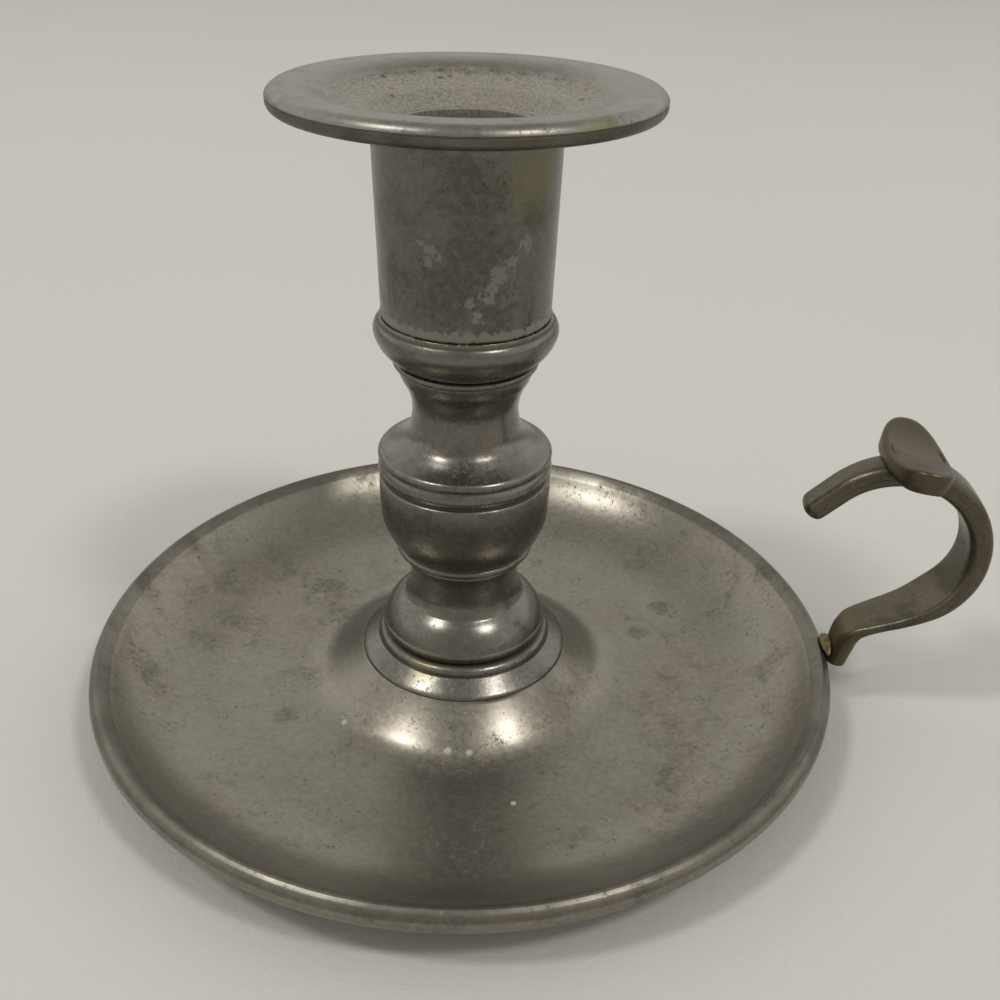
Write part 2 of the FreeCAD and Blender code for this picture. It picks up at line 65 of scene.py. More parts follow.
def high(node):
    """Highest height of a frame node, in millimetres."""
    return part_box(node)[1].z / MM


# Seats up the stem, in millimetres, read from the frame.
SEAT = SimpleNamespace(
    collar=low("foot_collar"),
    knop=high("foot_collar"),
    vase=high("foot_knop"),
    band=high("lower_vase"),
    upper=high("mid_band"),
    ring=high("upper_stem"),
    cup=high("collar_ring"),
    mouth=high("candle_cup"),
    top=high("nozzle_flange"),
)

# How far the metal's own colours are darkened on each part, in red, green and blue.
PAN_TONE = (0.63, 0.625, 0.6)
STEM_TONE = (0.44, 0.44, 0.44)
CUP_TONE = (0.40, 0.40, 0.40)
NOZZLE_TONE = (0.56, 0.56, 0.56)
HANDLE_TONE = (0.27, 0.255, 0.205)

# The most that wear and dirt roughen the metal, and the depth of its finest relief.
ROUGHEST = 0.85
RELIEF_DEPTH = 0.035 * MM

# Radii and depth of the joints up the stem, in millimetres: the hollow core, the spigots that
# stand on it and the sockets that take them.
CORE, SPIGOT, SOCKET, DEPTH, FLOOR_GAP = 3.5, 7.0, 7.05, 3.0, 0.05


# ---- settings


class StickSizes(bpy.types.PropertyGroup):
    """Sizes that the looks add to the frame's own."""

    rim_radius: FloatProperty(
        name="Rim radius", description="Outside of the pan's rolled rim",
        default=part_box("drip_pan")[1].x, unit="LENGTH", subtype="DISTANCE")
    rim_top: FloatProperty(
        name="Rim height", description="Top of the pan's rolled rim above the table",
        default=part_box("drip_pan")[1].z, unit="LENGTH", subtype="DISTANCE")
    cup_radius: FloatProperty(
        name="Cup mouth radius", description="Outside of the cup at its mouth",
        default=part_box("candle_cup")[1].x, unit="LENGTH", subtype="DISTANCE")
    flange_radius: FloatProperty(
        name="Flange radius", description="Outside of the nozzle's flange",
        default=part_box("nozzle_flange")[1].x, unit="LENGTH", subtype="DISTANCE")
    edge_softness: FloatProperty(
        name="Edge softness", description="How far turned corners are worn round",
        default=0.22 * MM, unit="LENGTH", subtype="DISTANCE")
    waviness: FloatProperty(
        name="Waviness", description="Depth of the shallow dents in the spun pan",
        default=0.12 * MM, unit="LENGTH", subtype="DISTANCE")
    pan_segments: IntProperty(
        name="Pan segments", description="Faces round the pan and the flange", default=256)
    stem_segments: IntProperty(
        name="Stem segments", description="Faces round each piece of the stem", default=144)


class StickColours(bpy.types.PropertyGroup):
    """Colours of the metal and what has grown on it."""

    pewter: FloatVectorProperty(
        name="Pewter", description="Clean worn pewter", subtype="COLOR",
        default=(0.370, 0.352, 0.300))
    # Tarnish also colours painted shade: the tall blots down the cup's front, and at half strength
    # the even dark bands on the pan's rim and the nozzle's flange.
    tarnish: FloatVectorProperty(
        name="Tarnish", description="Dark tarnished patches", subtype="COLOR",
        default=(0.175, 0.165, 0.132))
    blush: FloatVectorProperty(
        name="Blush", description="Pinkish patches where the tarnish is thin", subtype="COLOR",
        default=(0.340, 0.300, 0.262))
    oxide: FloatVectorProperty(
        name="Oxide", description="Pale flaky oxide", subtype="COLOR",
        default=(0.270, 0.262, 0.215))
    dirt: FloatVectorProperty(
        name="Dirt", description="Greenish brown dirt in the grooves", subtype="COLOR",
        default=(0.070, 0.062, 0.030))
    solder: FloatVectorProperty(
        name="Solder", description="Dull yellow solder at the strap's foot", subtype="COLOR",
        default=(0.200, 0.155, 0.070))


class StageSettings(bpy.types.PropertyGroup):
    """Floor, light and lens."""

    floor: FloatVectorProperty(
        name="Floor", description="Pale floor and backdrop", subtype="COLOR",
        default=(0.560, 0.548, 0.515))
    lamp_power: FloatProperty(
        name="Lamp power", description="Power of each of the two soft lamps",
        default=17.0, unit="POWER")
    sky_strength: FloatProperty(
        name="Sky strength", description="Strength of the plain sky", default=1.08)
    lens: FloatProperty(
        name="Lens", description="Focal length of the camera in millimetres", default=40.43)


# ---- nodes as sums


class Wire:
    """A node's output that sums can be written with: each sum adds its Math node."""

    def __init__(self, socket):
        self.socket, self.tree = socket, socket.id_data

    def math(self, operation, *others, clamp=False):
        """Adds a Math node with this wire first."""
        return add(self.tree, "ShaderNodeMath", {"operation": operation, "use_clamp": clamp},
                   dict(enumerate([self, *others])))

    def swapped(self, operation, first):
        """Adds a Math node with this wire second."""
        return add(self.tree, "ShaderNodeMath", {"operation": operation}, {0: first, 1: self})

    def __add__(self, other):
        return self.math("ADD", other)

    __radd__ = __add__

    def __sub__(self, other):
        return self.math("SUBTRACT", other)

    def __rsub__(self, other):
        return self.swapped("SUBTRACT", other)

    def __mul__(self, other):
        return self.math("MULTIPLY", other)

    __rmul__ = __mul__

    def __truediv__(self, other):
        return self.math("DIVIDE", other)

    def __rtruediv__(self, other):
        return self.swapped("DIVIDE", other)

    def __mod__(self, other):
        return self.math("MODULO", other)

    def __abs__(self):
        return self.math("ABSOLUTE")

    def floor(self):
        return self.math("FLOOR")

    def clamped(self):
        return self.math("ADD", 0.0, clamp=True)

    def most(self, other):
        return self.math("MAXIMUM", other)

    def least(self, other):
        return self.math("MINIMUM", other)

    def step(self, start, end):
        """0 below start and 1 above end, smooth between."""
        return add(self.tree, "ShaderNodeMapRange", {"interpolation_type": "SMOOTHSTEP"},
                   {0: self, 1: start, 2: end, 3: 0.0, 4: 1.0})


def add(tree, kind, settings=None, values=None, out=0):
    """Adds a node: its settings first, then the values or wires of its sockets."""
    node = tree.nodes.new(kind)
    for key, value in (settings or {}).items():
        setattr(node, key, value)
    for key, value in (values or {}).items():
        socket = node.inputs[key]
        if isinstance(value, Wire):
            tree.links.new(value.socket, socket)
        else:
            socket.default_value = value
    return Wire(node.outputs[out]) if len(node.outputs) else None


def output(wire, name):
    """Another output of the node that a wire leaves."""
    return Wire(wire.socket.node.outputs[name])


# ---- outlines and turning


def arc(start, via, end, count):
    """Points along the circle through three points, without the first."""
    (ax, ay), (bx, by), (cx, cy) = start, via, end
    d = 2 * (ax * (by - cy) + bx * (cy - ay) + cx * (ay - by))
    if abs(d) < 1e-9:
        return [(ax + (cx - ax) * k / count, ay + (cy - ay) * k / count)
                for k in range(1, count + 1)]
    a2, b2, c2 = ax * ax + ay * ay, bx * bx + by * by, cx * cx + cy * cy
    ux = (a2 * (by - cy) + b2 * (cy - ay) + c2 * (ay - by)) / d
    uy = (a2 * (cx - bx) + b2 * (ax - cx) + c2 * (bx - ax)) / d
    radius = hypot(ax - ux, ay - uy)
    first = atan2(ay - uy, ax - ux)
    middle = (atan2(by - uy, bx - ux) - first) % tau
    sweep = (atan2(cy - uy, cx - ux) - first) % tau
    if middle > sweep:
        sweep -= tau
    return [(ux + radius * cos(first + sweep * k / count),
             uy + radius * sin(first + sweep * k / count)) for k in range(1, count + 1)]


def trace(steps, pitch):
    """Closed outline from steps: (across, up) is a line to that point, and
    (across, up, across, up) an arc to the first point through the second."""
    points = []
    for number, step in enumerate(steps):
        start, end = steps[number - 1][:2], step[:2]
        if len(step) == 4:
            length = dist(start, step[2:]) + dist(step[2:], end)
            points += arc(start, step[2:], end, max(6, round(length / pitch)))
        else:
            points.append(end)
    return points


def worn(points, softness):
    """Rounds the sharp corners of a closed outline."""
    made = []
    for k, (x, y) in enumerate(points):
        px, py = points[k - 1]
        nx, ny = points[(k + 1) % len(points)]
        before, after = dist((px, py), (x, y)), dist((nx, ny), (x, y))
        turn = atan2(ny - y, nx - x) - atan2(y - py, x - px)
        turn = abs((turn + pi) % tau - pi)
        if turn < radians(14) or x < 0.01:
            made.append((x, y))
            continue
        reach = min(softness, 0.42 * before, 0.42 * after)
        ax, ay = x + (px - x) * reach / before, y + (py - y) * reach / before
        cx, cy = x + (nx - x) * reach / after, y + (ny - y) * reach / after
        count = 3 if turn < radians(50) else 5
        for i in range(count + 1):
            t = i / count
            made.append(((1 - t) ** 2 * ax + 2 * t * (1 - t) * x + t * t * cx,
                         (1 - t) ** 2 * ay + 2 * t * (1 - t) * y + t * t * cy))
    return made


def divided(points, pitch):
    """Splits the long runs of a closed outline, with a point close to each end of a run, so
    that the shading of a corner stays at the corner."""
    made = []
    for k, start in enumerate(points):
        end = points[(k + 1) % len(points)]
        length = dist(start, end)
        made.append(start)
        if length < pitch * 0.8:
            continue
        near = min(0.12 / length, 0.2)
        count = max(1, ceil(length * (1 - 2 * near) / pitch))
        for i in range(count + 1):
            t = near + (1 - 2 * near) * i / count
            made.append((start[0] + (end[0] - start[0]) * t, start[1] + (end[1] - start[1]) * t))
    return made


def turning_tree():
    """Geometry Nodes that turn an outline in radius and height round the upright axis."""
    tree = bpy.data.node_groups.new("turned_on_axis", "GeometryNodeTree")
    face = tree.interface
    face.new_socket("Geometry", in_out="INPUT", socket_type="NodeSocketGeometry")
    for name, kind, default in (("Outline points", "Int", 16), ("Segments", "Int", 64),
                                ("Dent depth", "Float", 0.0), ("Dent width", "Float", 0.03),
                                ("Material", "Material", None)):
        socket = face.new_socket(name, in_out="INPUT", socket_type=f"NodeSocket{kind}")
        if default is not None:
            socket.default_value = default
    face.new_socket("Geometry", in_out="OUTPUT", socket_type="NodeSocketGeometry")
    given = add(tree, "NodeGroupInput")
    points, segments = output(given, "Outline points"), output(given, "Segments")
    sheet = add(tree, "GeometryNodeMeshGrid", None,
                {"Vertices X": points + 1, "Vertices Y": segments + 1})
    index = add(tree, "GeometryNodeInputIndex")
    column = (index / (segments + 1)).floor()
    turn = (index - column * (segments + 1)) / segments * tau
    here = add(tree, "GeometryNodeInputPosition")
    sampled = add(tree, "GeometryNodeSampleIndex", {"data_type": "FLOAT_VECTOR", "domain": "POINT"},
                  {"Geometry": given, "Value": here, "Index": column % points})
    apart = add(tree, "ShaderNodeSeparateXYZ", None, {0: sampled})
    radius, height = apart, output(apart, "Z")
    place = add(tree, "ShaderNodeCombineXYZ", None,
                {0: radius * turn.math("COSINE"), 1: radius * turn.math("SINE"), 2: height})
    turned = add(tree, "GeometryNodeSetPosition", None, {"Geometry": sheet, "Position": place})
    closed = add(tree, "GeometryNodeMergeByDistance", None, {"Geometry": turned, "Distance": 2e-7})
    lumps = add(tree, "ShaderNodeTexNoise", None,
                {"Vector": here, "Scale": 1 / output(given, "Dent width"), "Detail": 1.0})
    normal = add(tree, "GeometryNodeInputNormal")
    inwards = add(tree, "ShaderNodeVectorMath", {"operation": "SCALE"},
                  {0: normal, "Scale": lumps * output(given, "Dent depth") * -1.0})
    dented = add(tree, "GeometryNodeSetPosition", None, {"Geometry": closed, "Offset": inwards})
    smooth = add(tree, "GeometryNodeSetShadeSmooth", None, {0: dented, "Shade Smooth": True})
    real = add(tree, "GeometryNodeRealizeInstances", None, {0: smooth})
    dressed = add(tree, "GeometryNodeSetMaterial", None,
                  {"Geometry": real, "Material": output(given, "Material")})
    add(tree, "NodeGroupOutput", None, {0: dressed})
    return tree


def feed(modifier, **values):
    """Sets a Geometry Nodes modifier's inputs by the identifiers of their sockets."""
    for item in modifier.node_group.interface.items_tree:
        name = item.name.lower().replace(" ", "_")
        if item.item_type == "SOCKET" and item.in_out == "INPUT" and name in values:
            modifier[item.identifier] = values[name]


def linked(name, data):
    """A new object with its data, linked into the scene."""
    thing = bpy.data.objects.new(name, data)
    bpy.context.scene.collection.objects.link(thing)
    return thing


def evaluated(source, name):
    """A plain object holding what an object's modifiers make; the source is removed."""
    graph = bpy.context.evaluated_depsgraph_get()
    mesh = bpy.data.meshes.new_from_object(source.evaluated_get(graph))
    rough = source.data
    bpy.data.objects.remove(source)
    bpy.data.meshes.remove(rough)
    mesh.name = name
    return linked(name, mesh)


def put(piece, node, body, slot):
    """Hands a finished piece to the frame in place of its node."""
    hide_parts(node)
    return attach(piece, body)


def turned(node, steps, up, material, slot, body="stick", wide=False, dents=0.15, pitch=0.7):
    """A turned piece that stands for its node, from steps in millimetres above its seat."""
    sizes = bpy.context.scene.stick_sizes
    points = trace(steps, pitch)
    points = divided(worn(points, sizes.edge_softness / MM), pitch * (2.0 if wide else 1.4))
    area = sum(points[k - 1][0] * points[k][1] - points[k][0] * points[k - 1][1]
               for k in range(len(points)))
    if area > 0:
        points.reverse()
    mesh = bpy.data.meshes.new(f"{node}_outline")
    mesh.from_pydata([(x * MM, 0.0, (y + up) * MM) for x, y in points],
                     [(k, (k + 1) % len(points)) for k in range(len(points))], [])
    source = linked(f"{node}_outline", mesh)
    modifier = source.modifiers.new("turning", "NODES")
    modifier.node_group = bpy.data.node_groups.get("turned_on_axis") or turning_tree()
    feed(modifier, outline_points=len(points), material=material,
         segments=sizes.pan_segments if wide else sizes.stem_segments,
         dent_depth=sizes.waviness * dents, dent_width=0.035 if wide else 0.012)
    return put(evaluated(source, f"{node}_turned"), node, body, slot)


# ---- finishes


def new_finish(name):
    """A material with its shader, and a wire with the place on the piece in millimetres."""
    material = bpy.data.materials.new(name)
    material.use_nodes = True
    tree = material.node_tree
    shader = tree.nodes["Principled BSDF"]
    place = add(tree, "ShaderNodeTexCoord", None, None, "Object")
    mm = add(tree, "ShaderNodeVectorMath", {"operation": "SCALE"}, {0: place, "Scale": 1 / MM})
    return material, shader, mm


def grain(place, size, detail=3.0, rough=0.55, warp=0.0):
    """Noise from 0 to 1 with features of about that many millimetres."""
    return add(place.tree, "ShaderNodeTexNoise", None,
               {"Vector": place, "Scale": 1 / size, "Detail": detail, "Roughness": rough,
                "Distortion": warp})


def spots(place, size):
    """Distance to the nearest of many scattered points, that many millimetres apart."""
    return add(place.tree, "ShaderNodeTexVoronoi", None, {"Vector": place, "Scale": 1 / size})


def mixed(mask, first, second):
    """Second colour over the first where the mask is 1."""
    first, second = (c if isinstance(c, Wire) else (*c, 1.0) for c in (first, second))
    return add(mask.tree, "ShaderNodeMix", {"data_type": "RGBA"}, {0: mask, 6: first, 7: second}, 2)


def blot(place, centre, radius, ragged):
    """1 in a ragged round patch and 0 outside."""
    wobble = grain(place, radius * 0.5, 4.0)
    away = add(place.tree, "ShaderNodeVectorMath", {"operation": "DISTANCE"},
               {0: place, 1: centre}, "Value")
    return 1 - (away / radius + (wobble - 0.5) * (2 * ragged)).step(0.35, 1.1)


def near_heights(height, bands):
    """1 at each of the given heights, falling to 0 at its half width."""
    total = None
    for centre, half_width, strength in bands:
        one = (1 - abs(height - centre) / half_width).clamped() * strength
        total = one if total is None else total.most(one)
    return total


def join(shader, wires, relief, depth, strength=1.0):
    """Links wires into the shader's inputs, with the relief as a bump."""
    bump = add(relief.tree, "ShaderNodeBump", None,
               {"Strength": strength, "Distance": depth, "Height": relief})
    for name, wire in {**wires, "Normal": bump}.items():
        relief.tree.links.new(wire.socket, shader.inputs[name])


class Coat:
    """Colour, roughness, metal and relief of a finish, which layers are laid on."""

    def __init__(self, colour, rough, metal, relief):
        self.colour, self.rough, self.metal, self.relief = colour, rough, metal, relief

    def lay(self, mask, shade, cover=1.0, rough=0.0, dull=0.0, relief=0.0):
        """Lays a shade where the mask is 1: cover is how far it hides what lies below, rough
        is added to the roughness, dull is taken from the metal and relief is its height."""
        self.colour = mixed(mask * cover, self.colour, shade)
        if rough:
            self.rough = self.rough + mask * rough
        if dull:
            self.metal = self.metal - mask * dull
        if relief:
            self.relief = self.relief + mask * relief


def pewter(name, lines, dull=0.0, patches=0.5, crevices=(), flakes=(), scales=(), tarnish_and_shade_blots=(),
           stains=(), specks=(), shade_and_tarnish_band=None, crust=None, tint=None, tone=(1.0, 1.0, 1.0)):
    """Aged pewter. lines is "round" for turning marks on flat faces, "up" for marks on upright
    ones or None. crevices and flakes are bands of height with dirt or pale oxide, scales are
    ragged patches of that oxide, blots are dark patches of tarnish, on the cup's front also
    painted shade, and stains yellowish patches, specks are pale grains, veil is a band of
    height with even painted shade, on the pan's rim also tarnish, crust is where a pale crust
    lies in the dish, tint is a shade for one side and tone darkens the metal's own colours."""
    colours = bpy.context.scene.stick_colours
    material, shader, mm = new_finish(name)
    apart = add(mm.tree, "ShaderNodeSeparateXYZ", None, {0: mm})
    across, along, height = apart, output(apart, "Y"), output(apart, "Z")
    radius = (across * across + along * along).math("SQRT")
    metal, blush, tarnish = (
        [c * share for c, share in zip(shade, tone)]
        for shade in (colours.pewter, colours.blush, colours.tarnish))

    broad = grain(mm, 26.0, 4.0, 0.6, 0.6)
    middling = grain(mm, 7.0, 6.0, 0.62, 0.4)
    fine = grain(mm, 1.1, 5.0, 0.7)
    finest = grain(mm, 0.28, 2.0, 0.6)

    dark = (middling * 0.65 + broad * 0.35).step(0.60 - 0.16 * patches, 0.74 - 0.1 * patches)
    dark = dark * (fine * 0.7 + 0.55).clamped()
    # These patches darken like tarnish; the tall ones down the cup's front are also painted shade.
    for *centre, size in tarnish_and_shade_blots:
        dark = dark.most(blot(mm, centre, size, 0.9) * (fine * 0.5 + 0.6).clamped())
    colour = mixed(broad.step(0.35, 0.68), metal, blush)
    colour = mixed(dark * 0.85, colour, tarnish)
    colour = mixed(fine.step(0.35, 0.75) * 0.6, colour, [c * 1.4 for c in metal])
    rough = 0.30 + dull + dark * 0.10 + (fine - 0.5) * 0.16 + (middling - 0.5) * 0.10
    coat = Coat(colour, rough, 0.89 - dark * 0.06, fine * 0.35 + finest * 0.22)
    if lines is not None:
        way, fineness, waver = {"round": (radius, 2.2, 3.0), "up": (height, 3.4, 2.0)}[lines]
        way = add(mm.tree, "ShaderNodeCombineXYZ", None, {0: way * fineness, 1: broad * waver})
        marks = grain(way, 1.0, 4.0, 0.7)
        coat.relief = coat.relief + marks * 0.22
        coat.rough = coat.rough + (marks - 0.5) * 0.12

    pits = grain(mm, 0.75, 4.0, 0.85, 0.4).step(0.57, 0.66) * middling.step(0.36, 0.60)
    coat.lay(pits, (0.040, 0.040, 0.035), 0.75, relief=-0.6)
    for *centre, size in stains:
        coat.lay(blot(mm, centre, size, 0.8) * 0.5, (0.20, 0.185, 0.085), rough=0.2)
    # Painted shade: an even band of half-strength tarnish colour over a band of height. It stands
    # in for the dark reflections on the nozzle's flange band and underside, and along the pan's
    # rim, where it stands for tarnish as well.
    if shade_and_tarnish_band is not None:
        bottom, ceiling, share = shade_and_tarnish_band
        shade_and_tarnish = height.step(bottom - 0.4, bottom) * (1 - height.step(ceiling - 0.3, ceiling))
        shade_and_tarnish = shade_and_tarnish * share * (middling * 1.5 + 0.15).clamped()
        coat.lay(shade_and_tarnish, [c * 0.5 for c in colours.tarnish], rough=0.1)
    for *centre, size in specks:
        pale = blot(mm, centre, size, 0.25)
        coat.lay(pale, (0.46, 0.44, 0.38), 0.85, rough=0.3, dull=0.7, relief=1.5)
    if flakes:
        bands = near_heights(height, flakes)
        scale = (middling * 0.5 + fine * 0.5 + bands * 0.42).step(0.76, 0.82)
        for *centre, size in scales:
            ragged = blot(mm, centre, size, 1.3) * 0.4 + fine * 0.6
            scale = scale.most(ragged.step(0.55, 0.66))
        coat.lay(scale, [c * 0.86 for c in colours.oxide], (fine * 0.9 + 0.35).clamped(),
                 rough=0.25, dull=0.35, relief=0.7)
    if crust is not None:
        lay_crust(coat, mm, (across, along, height), middling, crust)
    if crevices:
        dirty = near_heights(height, crevices)
        dirty = (dirty * 1.35 + (fine - 0.5) * 1.1 * dirty.step(0.02, 0.3)).clamped()
        coat.lay(dirty, colours.dirt, 0.85, rough=0.3, dull=0.45)
    if tint is not None:
        start, end, ceiling, shade, share = tint
        stained = (1 - across.step(start, end)) * (1 - height.step(ceiling - 4, ceiling)) * share
        coat.lay(stained * (fine * 0.8 + 0.4).clamped(), shade, rough=0.12)
    join(shader, {"Base Color": coat.colour, "Roughness": coat.rough.least(ROUGHEST),
                  "Metallic": coat.metal.clamped()}, coat.relief, RELIEF_DEPTH)
    return material


def lay_crust(coat, mm, place, middling, crust):
    """Lays pale gritty crust in an oval of the dish, from its lowest height, half length, half
    width and middle."""
    oxide = bpy.context.scene.stick_colours.oxide
    across, along, height = place
    lowest, half_long, half_wide, middle = crust
    aside = along - middle
    oval = (across * across / half_long ** 2 + aside * aside / half_wide ** 2).math("SQRT")
    reach = oval + (grain(mm, 2.4, 5.0, 0.75) - 0.5) * 0.26
    lies = (1 - reach.step(0.92, 1.03)) * height.step(lowest - 0.3, lowest)
    lies = lies * (1 - height.step(SEAT.top - 1.3, SEAT.top - 0.7))
    grit = grain(mm, 0.55, 4.0, 0.75)
    holes = 1 - spots(mm, 2.6).step(0.12, 0.26)
    holes = holes * grain(mm, 6.0, 2.0).step(0.48, 0.6)
    pale = mixed(grit.step(0.35, 0.68), [c * 1.12 for c in oxide], (0.165, 0.147, 0.118))
    pale = mixed(middling.step(0.5, 0.7) * 0.5, pale, (0.285, 0.228, 0.197))
    pale = mixed(holes * 0.8, pale, (0.05, 0.04, 0.03))
    coat.lay(lies, pale, 0.92, rough=0.32, dull=0.7, relief=grit * 1.6 - holes * 1.5 + 0.8)


def yellow_solder():
    """Dull yellow solder, lumpy, and darker where its lumps rise."""
    colours = bpy.context.scene.stick_colours
    material, shader, mm = new_finish("yellow_solder_dull")
    lumps = grain(mm, 1.4, 4.0)
    fine = grain(mm, 0.4, 3.0)
    colour = mixed(lumps.step(0.4, 0.65), colours.solder, (0.09, 0.068, 0.035))
    join(shader, {"Base Color": colour, "Roughness": 0.42 + fine * 0.2,
                  "Metallic": 0.9 - lumps * 0.2}, lumps + fine * 0.3, 0.06 * MM)
    return material


# ---- the stick's pieces


class StickOperator(bpy.types.Operator):
    """Shared by the operators that build the pieces."""

    bl_options = {"REGISTER"}


class CHAMBERSTICK_OT_pan(StickOperator):
    """Spin the drip pan with its boss, dished wall and rolled rim"""

    bl_idname = "chamberstick.pan"
    bl_label = "Drip pan"

    def execute(self, context):
        sizes = context.scene.stick_sizes
        rim, top = sizes.rim_radius / MM, sizes.rim_top / MM
        sheet, floor, flare, boss, up = 2.0, 47.0, 29.5, 19.6, SEAT.collar
        root, deep, crown = rim - 3.3, 4.6, 0.6
        below = top - deep
        # The wall is one arc, left a little before its end so that it runs into the rim.
        radius = self.wall(floor, sheet, root, top - crown)[2]
        knee = root - 1.2
        bend = (knee, sheet + radius - (radius ** 2 - (knee - floor) ** 2) ** 0.5)
        finish = pewter(
            "pan_pewter_aged", "round", dull=0.02, patches=0.6, tone=PAN_TONE,
            # An even dark band over the rim and the top of the wall: painted shade that dims their
            # reflections, and tarnish.
            shade_and_tarnish_band=(11.2, 13.5, 0.6),
            specks=((-20.5, -19.5, 2.9, 0.7), (-0.4, -26.3, 3.65, 0.75),
                    (3.4, -26.4, 3.6, 0.7), (11.9, -36.4, 2.0, 0.6)),
            tarnish_and_shade_blots=((40.7, 23.8, 2.0, 3.2), (35.3, 14.3, 2.0, 2.6),
                   (37.0, 42.8, 2.5, 2.4), (-31.6, -17.8, 2.0, 2.8)))
        turned("drip_pan", [
            (SOCKET, up - sheet),
            (boss - 1.18, up - sheet),
            (flare - 0.59, 0.0, (flare + boss) / 2 - 1.77, (up + sheet) / 2 - 2.43),
            (floor, 0.0),
            (root + 0.6, below, *self.wall(floor, 0.0, root + 0.6, below)[:2]),
            (rim - 1.4, below),
            (rim - 1.6, top, rim, top - deep / 2),
            (root + 1.14, top - 0.1, root + 1.41, top),
            (*bend, root - 0.1, top - 1.01),
            (floor, sheet, *self.wall(floor, sheet, *bend)[:2]),
            (flare + 2.56, sheet),
            (flare - 3.9, sheet + 2.1, flare - 0.84, sheet + 0.54),
            (boss, up, boss + 2.89, up - 2.73), (boss - 0.06, up),
            (SOCKET, up),
        ], 0.0, finish, "pan_pewter", wide=True, dents=1.0)
        return {"FINISHED"}

    @staticmethod
    def wall(x0, y0, x1, y1):
        """Middle and radius of the arc that leaves a flat floor smoothly and ends at a point."""
        radius = ((x1 - x0) ** 2 + (y1 - y0) ** 2) / (2 * (y1 - y0))
        half = asin((x1 - x0) / radius) / 2
        return x0 + radius * sin(half), y0 + radius * (1 - cos(half)), radius


def spigot(through=0.0):
    """Steps of the spigot below a stem piece, longer where it goes through another one."""
    return [(CORE, -DEPTH - through), (SPIGOT, -DEPTH - through), (SPIGOT, 0.0)]


def socket(top):
    """Steps of the socket in the top of a stem piece."""
    floor = top - DEPTH - FLOOR_GAP
    return [(SOCKET, top), (SOCKET, floor), (CORE, floor)]


class CHAMBERSTICK_OT_stem(StickOperator):
    """Turn the collar, knop, vase, band, upper stem and ring"""

    bl_idname = "chamberstick.stem"
    bl_label = "Stem"

    def execute(self, context):
        vase, ring = SEAT.vase, SEAT.ring
        seams = [SEAT.knop, vase + 0.1, vase + 1.2, vase + 3.0, SEAT.band + 0.1,
                 SEAT.upper, ring - 1.9, ring - 0.2, SEAT.cup - 0.7]
        finish = pewter(
            "stem_pewter_aged", "up", dull=-0.04, patches=0.55, tone=STEM_TONE,
            crevices=[(seam, 0.34, 0.75) for seam in seams],
            flakes=((SEAT.cup - 0.2, 1.6, 0.7),),
            tarnish_and_shade_blots=((-4.6, -14.5, 43.5, 3.6), (7.5, -13.0, 41.0, 2.6), (-6.5, -7.0, 61.5, 3.0)),
            stains=((6.7, -10.0, 58.0, 3.4), (4.5, -13.5, 21.5, 2.4), (-6.0, -15.5, 13.6, 3.4)))
        slot = "stem_pewter"
        span = SEAT.knop - SEAT.collar
        turned("foot_collar", [
            (19.55, 0.0), (19.55, 0.08), (19.4, 0.4), (18.95, 0.8), (16.6, 2.5), (16.45, 2.6),
            (16.4, 2.85), (14.8, span, 16.0, span - 0.5), (SOCKET, span), (SOCKET, 0.0),
        ], SEAT.collar, finish, slot)
        span = SEAT.vase - SEAT.knop
        turned("foot_knop", [
            (CORE, -7.45), (8.0, -7.45), (8.8, -6.45, 8.6, -7.15), (SPIGOT, -6.45), (SPIGOT, 0.0),
            (13.7, 0.0), (15.5, 1.4, 15.0, 0.55), (15.2, 2.3, 15.45, 1.95), (11.2, 7.2, 13.55, 5.2),
            (10.0, 11.0, 10.3, 8.9), (10.6, span, 10.1, 13.6), *socket(span),
        ], SEAT.knop, finish, slot)
        span = SEAT.band - SEAT.vase
        turned("lower_vase", [
            *spigot(), (11.0, 0.0), (11.0, 1.1, 11.4, 0.55), (11.2, 1.6), (12.0, 2.9, 12.55, 2.3),
            (12.4, 3.1), (15.05, 8.8, 13.8, 5.25), (15.3, span - 0.3, 15.35, span - 4.0),
            (14.9, span), *socket(span),
        ], SEAT.vase, finish, slot)
        span = SEAT.upper - SEAT.band
        turned("mid_band", [
            (SOCKET, 0.0), (14.9, 0.0), (14.9, 0.3), (14.9, span - 0.3, 15.5, span / 2),
            (14.9, span), (SOCKET, span),
        ], SEAT.band, finish, slot, pitch=0.4)
        span = SEAT.ring - SEAT.upper
        turned("upper_stem", [
            *spigot(SEAT.upper - SEAT.band), (14.7, 0.0), (15.5, 0.9, 15.3, 0.3),
            (14.5, 1.85, 15.2, 1.5), (11.6, 3.5, 12.9, 2.6), (9.5, 7.2, 10.1, 5.0),
            (9.75, 12.5, 9.25, 9.8), (10.9, 14.9, 10.25, 13.8), (11.7, span - 2.1, 11.45, 16.2),
            (11.7, span - 1.8), (11.7, span - 0.6, 12.5, span - 1.2), (11.6, span), *socket(span),
        ], SEAT.upper, finish, slot, pitch=0.5)
        span = SEAT.cup - SEAT.ring
        turned("collar_ring", [
            *spigot(), (11.9, 0.0), (13.0, 0.1), (13.2, 0.5), (15.6, 4.5, 15.0, 2.7),
            (14.9, 6.4, 15.45, 5.6), (14.6, 6.5), (14.6, span), *socket(span),
        ], SEAT.ring, finish, slot, pitch=0.5)
        return {"FINISHED"}


